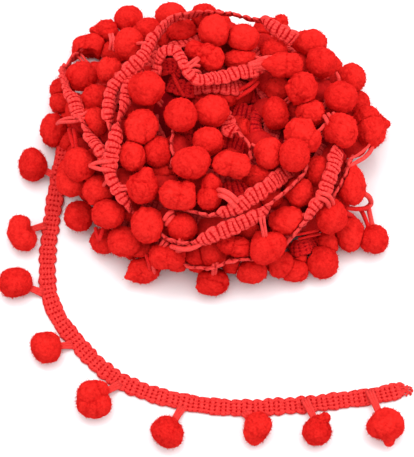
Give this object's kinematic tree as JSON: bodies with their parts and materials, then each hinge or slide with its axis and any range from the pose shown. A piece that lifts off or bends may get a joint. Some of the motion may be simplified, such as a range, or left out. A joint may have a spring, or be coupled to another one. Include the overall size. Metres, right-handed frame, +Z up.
{
  "type": "roll of pompom trim",
  "caption": "Loose oval roll of narrow knitted braid with round pompoms hanging from it, its loose end laid out in an arc.",
  "frame": {"origin": "on the surface that the trim lies on, at the middle of the roll's flat spot", "axes": "+Z up from the surface, -Y towards the side where the loose end is laid out, +X towards its cut end"},
  "size_m": [0.1401, 0.1664, 0.0414],
  "materials": {
    "pompom_yarn": "soft red pile, matt with a faint sheen",
    "braid_yarn": "crochet-knitted coral red yarn, matt"
  },
  "bodies": {
    "root": {"wound_roll": "pompom_yarn", "loose_braid": "braid_yarn", "loose_pompom_1": "pompom_yarn", "loose_pompom_2": "pompom_yarn", "loose_pompom_3": "pompom_yarn", "loose_pompom_4": "pompom_yarn", "loose_pompom_5": "pompom_yarn", "loose_pompom_6": "pompom_yarn", "loose_pompom_7": "pompom_yarn", "loose_pompom_8": "pompom_yarn", "loose_pompom_9": "pompom_yarn"}
  },
  "joints": []
}
